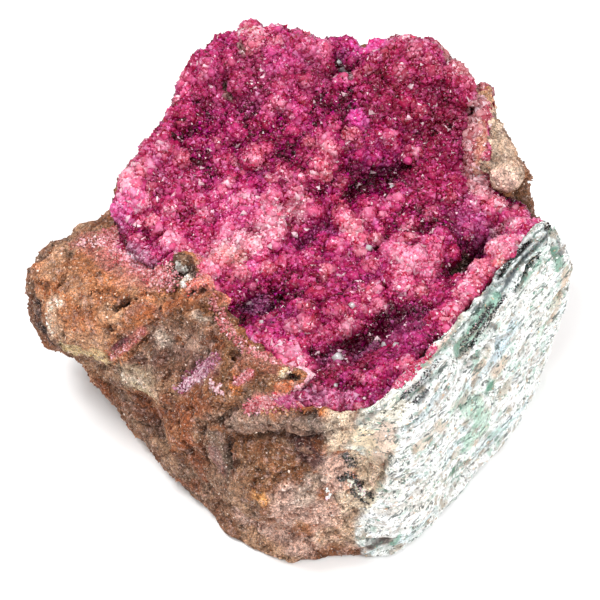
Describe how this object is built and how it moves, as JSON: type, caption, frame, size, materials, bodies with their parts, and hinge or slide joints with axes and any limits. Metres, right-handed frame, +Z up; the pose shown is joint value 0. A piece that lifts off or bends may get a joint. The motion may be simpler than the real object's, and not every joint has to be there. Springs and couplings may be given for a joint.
{
  "type": "cobaltoan calcite cluster",
  "caption": "Broken block of brown rock with a pale right face, its shallow top pocket lined with one crust of pink rhombohedral calcite crystals, resting on a flat break.",
  "frame": {"origin": "centre of the bounding box's underside, on the surface that the specimen rests on", "axes": "+X to the right across the width, from the sandy lobe to the pale face; +Y to the back, -Y to the front corner; +Z up, towards the crystals"},
  "size_m": [0.0604, 0.0524, 0.0351],
  "materials": {
    "matrix_rock": "rough broken rock, sandy brown, with a white and mint-green mineral skin on the right face",
    "calcite_crust": "glassy raspberry-pink crystals"
  },
  "bodies": {
    "root": {"matrix_rock": "matrix_rock", "calcite_crust": "calcite_crust"}
  },
  "joints": []
}
